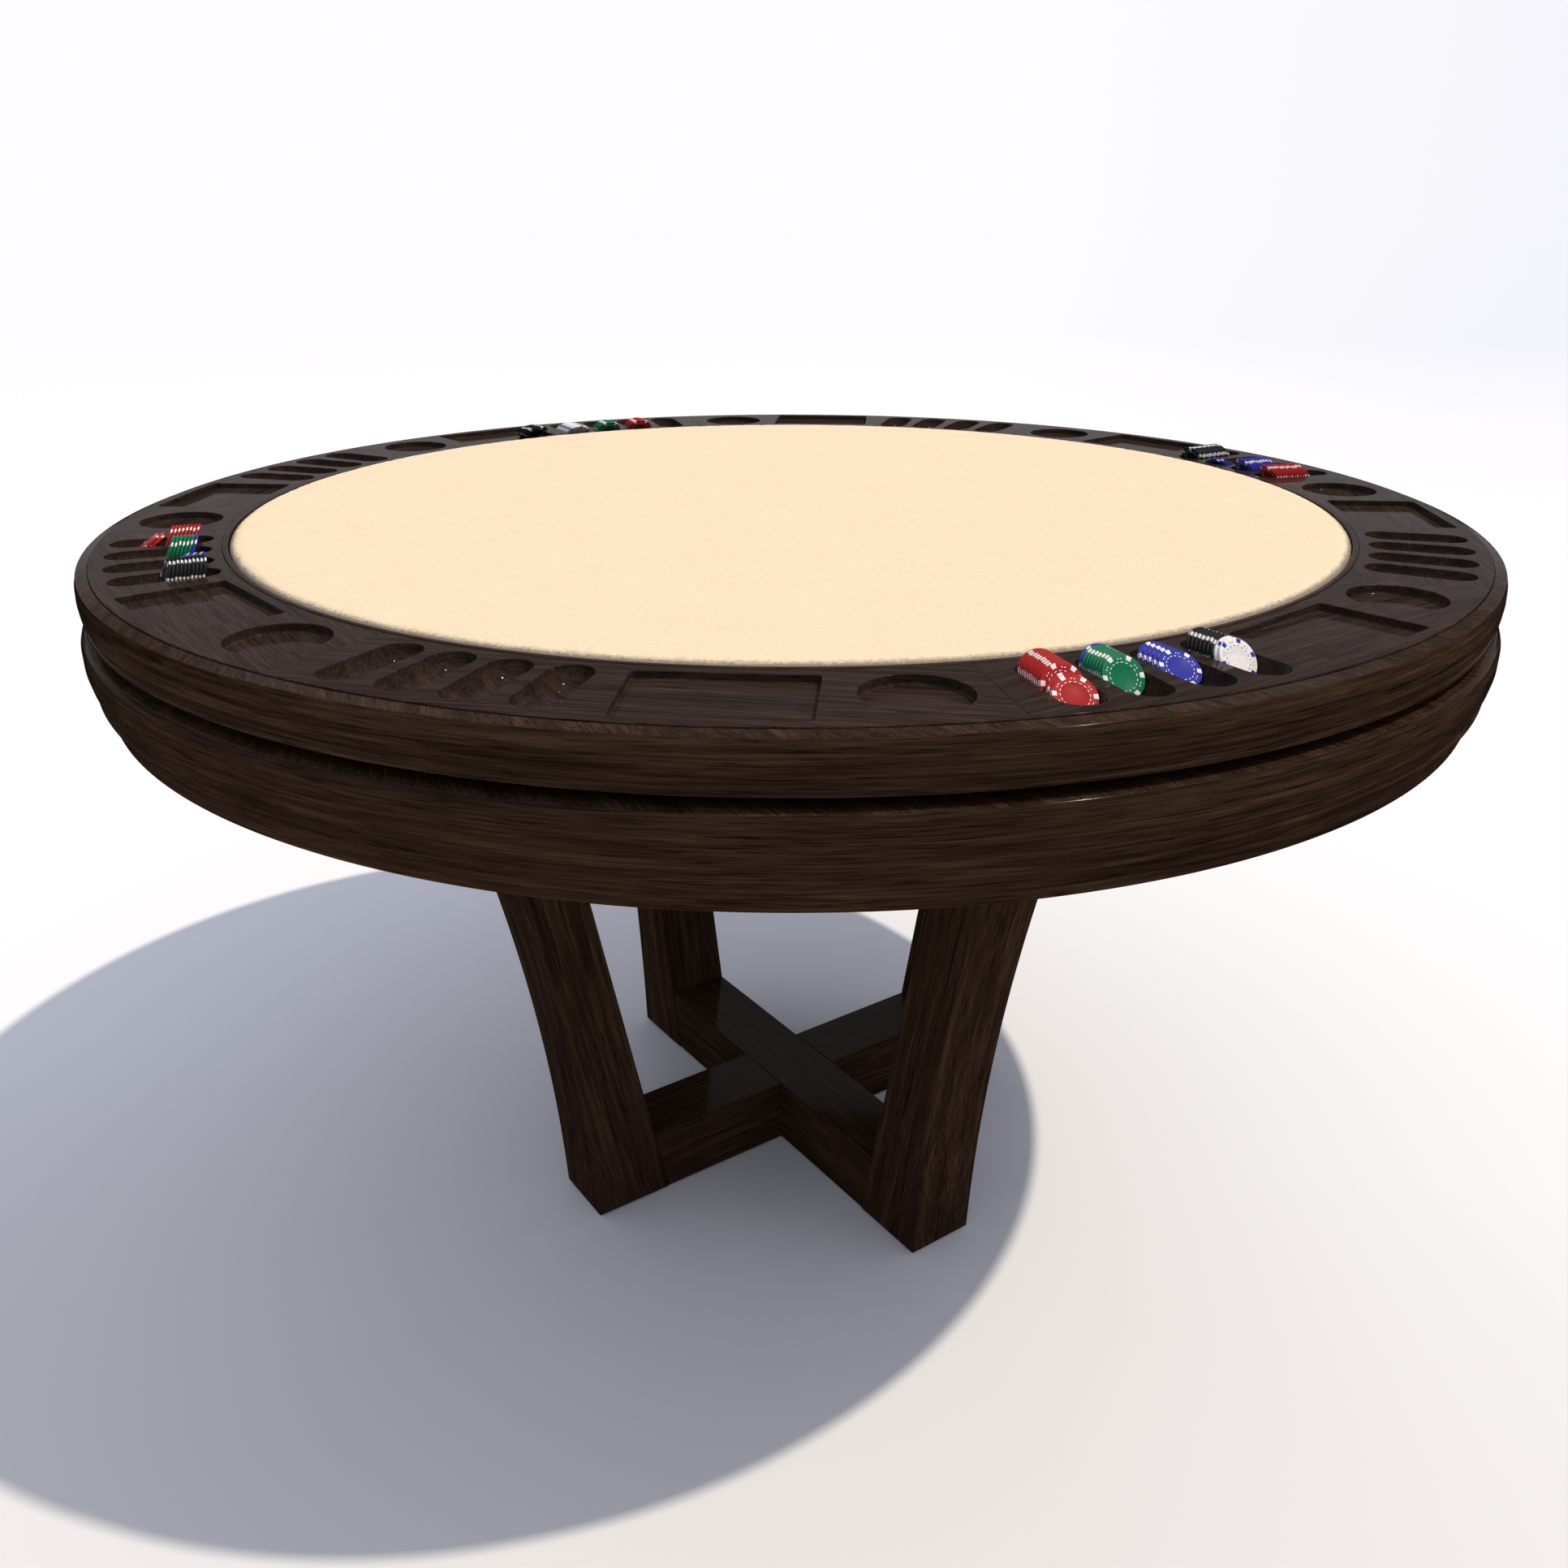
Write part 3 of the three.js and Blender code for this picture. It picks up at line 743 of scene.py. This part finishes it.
def recess_cutters():
    """The cutters for one segment, about its middle azimuth."""
    middle = STATION_ANGLE / 2
    cup = recess_cutter(
        "cup_cutter", CUP_RADIUS, CUP_RADIUS, CUP_RADIUS, cove_levels(CUP_DEPTH, 2.6 * MM), 0.9 * MM, 20
    )
    tray = recess_cutter(
        "tray_cutter",
        TRAY_WIDTH / 2,
        TRAY_LENGTH / 2,
        TRAY_CORNER,
        cove_levels(TRAY_DEPTH, 1.0 * MM),
        0.7 * MM,
        6,
    )
    placed = [(cup, CUP_ANGLE), (tray, TRAY_ANGLE)]
    for trough in range(TROUGHS):
        cutter = recess_cutter(
            "trough_cutter",
            TROUGH_LENGTH / 2,
            TROUGH_RADIUS,
            TROUGH_RADIUS,
            trough_levels(),
            0.7 * MM,
            12,
        )
        placed.append((cutter, TROUGH_FIRST_ANGLE + TROUGH_STEP_ANGLE * trough))
    for cutter, angle in placed:
        cutter.data.transform(turn(angle - middle) @ Matrix.Translation((RECESS_RADIUS, 0, 0)))
    return [cutter for cutter, angle in placed]


def add_rail():
    """Eight lacquered segments with their recesses; the grain of each runs straight across its middle."""
    eased = 0.9 * MM
    levels = [(sector_outline(0), RAIL_BOTTOM)]
    for step in range(5):
        angle = math.radians(90) * step / 4
        inset = eased * (1 - math.cos(angle))
        levels.append((sector_outline(inset), RAIL_TOP - eased * (1 - math.sin(angle))))
    first = loft("rail_1", levels)
    for cutter in recess_cutters():
        carve(first, cutter)
    pattern = first.data
    for station in range(STATIONS):
        mesh = pattern.copy()
        shift = 3.7 * station

        def grain(points, shift=shift):
            return np.stack([points[:, 1] + shift, points[:, 0] + 0.31 * shift, points[:, 2]], axis=1)

        store_grain(mesh, grain)
        mesh.transform(turn(FIRST_SEAM + STATION_ANGLE * (station + 0.5)))
        name = "rail_" + str(station + 1)
        segment = first if station == 0 else bpy.data.objects.new(name, mesh)
        segment.data = mesh
        if station:
            bpy.context.scene.collection.objects.link(segment)
        shade(segment)
        finish_piece(segment, RAIL_WALNUT_AND_SHEEN, "game_top", "rail_segment_" + str(station + 1))
    bpy.data.meshes.remove(pattern)


def add_liner():
    outline = rounded_outline(
        [
            (LINER_INNER, LINER_BOTTOM, 0),
            (LINER_OUTER, LINER_BOTTOM, 0),
            (LINER_OUTER, LINER_TOP, 1.2 * MM),
            (LINER_INNER, LINER_TOP, 1.6 * MM),
        ]
    )
    liner = turned("liner", outline)
    store_grain(liner.data, lambda points: points, wraps=True)
    shade(liner)
    finish_piece(liner, WALNUT, "game_top", "rail_liner")


def add_moulding():
    nose = MOULDING_NOSE
    top, bottom = MOULDING_TOP, MOULDING_BOTTOM
    outline = rounded_outline(
        [
            (MOULDING_INNER, bottom, 0),
            (nose - 3 * MM, bottom, 1.4 * MM),
            (nose - 3 * MM, bottom + 3.5 * MM, 1.4 * MM),
            (nose - 5 * MM, bottom + 5.5 * MM, 1.2 * MM),
            (nose - 1 * MM, bottom + 15 * MM, 14 * MM),
            (nose, top - 22 * MM, 14 * MM),
            (nose - 0.6 * MM, top - 11 * MM, 8 * MM),
            (nose - 2.6 * MM, top - 3.2 * MM, 2.2 * MM),
            (MOULDING_INNER, top, 0.8 * MM),
        ]
    )
    moulding = turned("moulding", outline)
    store_grain(moulding.data, lambda points: points + np.array((0, 0.2, 0.4)), wraps=True, top_skew=50)
    shade(moulding)
    finish_piece(moulding, WALNUT, "game_top", "edge_moulding")


# --- Base ----------------------------------------------------------------------------------------


def add_base_deck():
    outline = rounded_outline(
        [
            (0, DECK_BOTTOM, 0),
            (BASE_NOSE, DECK_BOTTOM - GAP, 0),
            (BASE_NOSE, DECK_TOP - 12 * MM, 8 * MM),
            (BASE_NOSE - 2 * MM, DECK_TOP - 5.5 * MM, 5 * MM),
            (BASE_NOSE - 6 * MM, DECK_TOP - 1.5 * MM, 4 * MM),
            (BASE_NOSE - 12 * MM, DECK_TOP, 6 * MM),
            (PIN_CIRCLE - 40 * MM, DECK_TOP, 0),
            (0, DECK_TOP, 0),
        ]
    )
    deck = turned("deck", outline)
    for index in range(4):
        hole = turned(
            "pin_hole",
            [
                (0, DECK_TOP - PIN_HOLE_DEPTH),
                (PIN_HOLE_RADIUS, DECK_TOP - PIN_HOLE_DEPTH),
                (PIN_HOLE_RADIUS, DECK_TOP + 1 * MM),
                (0, DECK_TOP + 1 * MM),
            ],
            32,
        )
        hole.data.transform(turn(90 * index) @ Matrix.Translation((PIN_CIRCLE, 0, 0)))
        carve(deck, hole)
    store_grain(deck.data, lambda points: points + np.array((1.3, 0.5, 0.9)), wraps=True, top_skew=50)
    shade(deck)
    finish_piece(deck, WALNUT, "base", "base_deck")


def add_apron():
    bead = APRON_BOTTOM + 26 * MM
    outline = rounded_outline(
        [
            (APRON_INNER, APRON_BOTTOM, 0.8 * MM),
            (APRON_FOOT, APRON_BOTTOM, 1.2 * MM),
            (APRON_FOOT + 2 * MM, APRON_BOTTOM + 10 * MM, 14 * MM),
            (APRON_FOOT + 7 * MM, bead - 2 * MM, 5 * MM),
            (APRON_FOOT + 10.5 * MM, bead, 2.5 * MM),
            (APRON_FOOT + 10.5 * MM, bead + 5 * MM, 2.5 * MM),
            (APRON_FOOT + 9.5 * MM, bead + 7 * MM, 2 * MM),
            (BASE_NOSE - 2.5 * MM, bead + 20 * MM, 14 * MM),
            (BASE_NOSE, APRON_TOP - 6 * MM, 6 * MM),
            (BASE_NOSE, APRON_TOP, 0),
            (APRON_INNER, APRON_TOP, 0),
        ]
    )
    apron = turned("apron", outline)
    store_grain(apron.data, lambda points: points + np.array((5.1, 0.8, 0.1)), wraps=True)
    shade(apron)
    finish_piece(apron, WALNUT, "base", "apron_hoop")


def leg_inner(height):
    return LEG_FOOT_INNER + LEG_INNER_SLOPE * height


def leg_outer(height):
    return LEG_FOOT_OUTER + LEG_OUTER_SLOPE * height + LEG_OUTER_CURVE * height * height


def add_legs():
    """Sabre legs sawn from thick planks, grain upright."""
    steps = 40
    heights = [LEG_BOTTOM + (LEG_TOP - LEG_BOTTOM) * step / steps for step in range(steps + 1)]
    outline = [(leg_outer(height), height) for height in heights]
    outline += [(leg_inner(height), height) for height in reversed(heights)]
    for index, azimuth in enumerate(LEG_AZIMUTHS):
        leg = extruded("leg_plank_" + str(index + 1), outline, LEG_THICKNESS)
        shift = 2.3 * (index + 1)

        def grain(points, shift=shift):
            lean = points[:, 0] - LEG_INNER_SLOPE * points[:, 2]
            return np.stack([points[:, 2] + shift, lean + 0.4 * shift, points[:, 1]], axis=1)

        store_grain(leg.data, grain)
        leg.data.transform(turn(azimuth))
        soften(leg, 1.6 * MM)
        shade(leg)
        finish_piece(leg, WALNUT, "base", "leg_" + str(index + 1))


def add_stretchers():
    """Two low boards halved over each other where they cross."""
    end_at_bottom = leg_inner(LEG_BOTTOM) - GAP
    end_at_top = leg_inner(STRETCHER_TOP) - GAP
    half_lap = STRETCHER_THICKNESS / 2 + GAP
    middle = (LEG_BOTTOM + STRETCHER_TOP) / 2
    below = [
        (-end_at_bottom, LEG_BOTTOM),
        (-half_lap, LEG_BOTTOM),
        (-half_lap, middle + GAP / 2),
        (half_lap, middle + GAP / 2),
        (half_lap, LEG_BOTTOM),
        (end_at_bottom, LEG_BOTTOM),
        (end_at_top, STRETCHER_TOP),
        (-end_at_top, STRETCHER_TOP),
    ]
    above = [
        (-end_at_bottom, LEG_BOTTOM),
        (end_at_bottom, LEG_BOTTOM),
        (end_at_top, STRETCHER_TOP),
        (half_lap, STRETCHER_TOP),
        (half_lap, middle - GAP / 2),
        (-half_lap, middle - GAP / 2),
        (-half_lap, STRETCHER_TOP),
        (-end_at_top, STRETCHER_TOP),
    ]
    for number, azimuth, outline in ((1, -45, below), (2, 45, above)):
        board = extruded("stretcher_board_" + str(number), outline, STRETCHER_THICKNESS)
        store_grain(board.data, lambda points: points + np.array((0, 0.6, 0.25)))
        board.data.transform(turn(azimuth))
        soften(board, 1.0 * MM)
        shade(board)
        finish_piece(board, WALNUT, "base", "stretcher_" + str(number))


# --- Chips ---------------------------------------------------------------------------------------

# Stacks by CAD node: the slot, the lean in degrees, the first chip's distance outwards from the slot's middle
# in mm, and the chips from the panel outwards.
TRAY_END = TROUGHS
CHIP_STACKS = {
    "chips_2_red": (0, 32, -33, [("red", 10)]),
    "chips_2_tipped_red": (0, 52, 18.9, [("red", 2)]),
    "chips_2_green": (1, 38, -32, [("blue", 1), ("green", 7)]),
    "chips_2_blue": (2, 55, -27, [("blue", 5)]),
    "chips_2_black": (3, 38, -32, [("black", 7), ("white", 2)]),
    "chips_4_red": (0, 38, -32, [("red", 12)]),
    "chips_4_blue": (1, 38, -32, [("blue", 10)]),
    "chips_4_spare_blue": (2, 62, -30, [("blue", 2)]),
    "chips_4_black": (3, 34, -33, [("black", 14)]),
    "chips_6_red": (1, 42, -32, [("red", 7)]),
    "chips_6_green": (2, 42, -32, [("green", 6)]),
    "chips_6_white": (3, 50, -31.5, [("white", 9)]),
    "chips_6_black": (TRAY_END, 58, -32, [("black", 5)]),
    "chips_8_red": (0, 25, -33.5, [("red", 8)]),
    "chips_8_tipped_red": (0, 55, 11, [("red", 2)]),
    "chips_8_green": (1, 25, -33.5, [("blue", 1), ("green", 6)]),
    "chips_8_blue": (2, 58, -30, [("blue", 3)]),
    "chips_8_black": (3, 20, -34, [("black", 10)]),
}


def chip_rings():
    """(radius, height) rows of a chip, from the middle of one face round the rim to that of the other."""
    half = 0.5 * CHIP_THICKNESS - 0.3 * MM
    edge = 0.6 * MM
    face = [
        (0, half - 0.12 * MM),
        (0.57 * CHIP_RADIUS, half - 0.12 * MM),
        (0.585 * CHIP_RADIUS, half),
        (0.61 * CHIP_RADIUS, half),
        (0.643 * CHIP_RADIUS, half),
        (0.76 * CHIP_RADIUS, half),
        (0.80 * CHIP_RADIUS, half),
        (CHIP_RADIUS - edge, half),
        (CHIP_RADIUS - 0.3 * edge, half - 0.3 * edge),
        (CHIP_RADIUS, half - edge),
    ]
    return face + [(radius, -height) for radius, height in reversed(face)]


def is_spot(row, rows, step):
    """True on the inlaid spots: blocks on the face's border and over the rim, two dots between the blocks,
    and a dashed ring on each face. The rows are those of chip_rings, counted in from the nearer face."""
    ring_row, dot_row, border_row, rim_row = 3, 5, 6, 9
    row = min(row, rows - 2 - row)
    place = step % SPOT_PITCH
    if row in (dot_row, border_row, rim_row) and place < 3:
        return True
    if row == dot_row and place in (6, 8):
        return True
    return row == ring_row and step % 4 in (1, 2)


def chip_mesh_data(transform, spin):
    """Vertices, faces and a spot flag for each face of one chip with its axis along Z before transform."""
    rings = chip_rings()
    vertices = []
    rows = []
    for radius, height in rings:
        if radius == 0:
            rows.append([len(vertices)] * CHIP_STEPS)
            vertices.append(transform @ Vector((0, 0, height)))
            continue
        rows.append(list(range(len(vertices), len(vertices) + CHIP_STEPS)))
        for step in range(CHIP_STEPS):
            angle = 2 * math.pi * step / CHIP_STEPS + spin
            vertices.append(transform @ Vector((radius * math.cos(angle), radius * math.sin(angle), height)))
    faces = []
    spots = []
    for row in range(len(rows) - 1):
        for step in range(CHIP_STEPS):
            ahead = (step + 1) % CHIP_STEPS
            corners = [rows[row][ahead], rows[row][step], rows[row + 1][step], rows[row + 1][ahead]]
            faces.append(list(dict.fromkeys(corners)))
            spots.append(is_spot(row, len(rows), step))
    return vertices, faces, spots


def seat_height(slot, lean):
    on_floor = CHIP_RADIUS * math.cos(lean) + GAP
    if slot == TRAY_END:
        return on_floor
    room = TROUGH_RADIUS - 2 * GAP
    return max(on_floor, TROUGH_RADIUS - math.sqrt(room**2 - CHIP_RADIUS**2) * math.sin(lean))


def slot_angle(slot):
    if slot != TRAY_END:
        return TROUGH_FIRST_ANGLE + TROUGH_STEP_ANGLE * slot
    return TRAY_ANGLE - math.degrees((TRAY_LENGTH / 2 - CHIP_RADIUS - 3 * MM) / RECESS_RADIUS)


def add_chip_stack(node, slot, lean_degrees, first, runs, chance):
    station = int(node.split("_")[1])
    lean = math.radians(lean_degrees)
    floor = RAIL_TOP - (TRAY_DEPTH if slot == TRAY_END else TROUGH_DEPTH)
    colours = [colour for colour, count in runs for _ in range(count)]
    spacing = CHIP_THICKNESS / math.cos(lean)
    azimuth = FIRST_SEAM + STATION_ANGLE * (station - 1) + slot_angle(slot)
    upright = Matrix.Rotation(math.pi / 2 - lean, 4, "Y")
    vertices, faces, slots = [], [], []
    used = sorted({*colours, *("blue" if colour == "white" else "white" for colour in colours)})
    shared_spin = chance.uniform(0, 0.5)
    for index, colour in enumerate(colours):
        radius = RECESS_RADIUS + first * MM + index * spacing
        centre = Vector((radius, 0, floor + seat_height(slot, lean)))
        transform = turn(azimuth) @ Matrix.Translation(centre) @ upright
        chip, chip_faces, spots = chip_mesh_data(transform, shared_spin + chance.uniform(-0.06, 0.06))
        start = len(vertices)
        vertices += chip
        faces += [[start + corner for corner in face] for face in chip_faces]
        spot_colour = "blue" if colour == "white" else "white"
        slots += [used.index(spot_colour if spot else colour) for spot in spots]
    stack = make_object(node + "_stack", vertices, faces)
    for colour in used:
        stack.data.materials.append(CHIP_COLOURS[colour])
    stack.data.polygons.foreach_set("material_index", slots)
    shade(stack, 50, weighted=False)
    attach(stack, "chips_" + str(station))
    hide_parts(node)


def add_chips():
    chance = random.Random(11)
    for node, (slot, lean, first, runs) in CHIP_STACKS.items():
        add_chip_stack(node, slot, lean, first, runs, chance)


# --- CAD solids that stay ------------------------------------------------------------------------


def paint_cad_nodes():
    """Materials for the CAD solids that stay shown."""
    finishes = {
        "top_deck": PLYWOOD,
        "panel_board": PLYWOOD,
        "spacer_ring": WALNUT_SOLID,
        "under_panel": WALNUT_SOLID,
        "bearer_": BEECH,
        "locating_pin_": BEECH,
        "glide_": NYLON,
        "leg_bolt_": STEEL,
    }
    for name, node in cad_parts.items():
        for start, material in finishes.items():
            if name.startswith(start):
                node.material_slots[0].link = "OBJECT"
                node.material_slots[0].material = material


bpy.context.scene.view_settings.view_transform = "Standard"
add_camera()
add_sun()
add_world()
add_floor()
add_playing_pad()
add_rail()
add_liner()
add_moulding()
add_base_deck()
add_apron()
add_legs()
add_stretchers()
add_chips()
paint_cad_nodes()
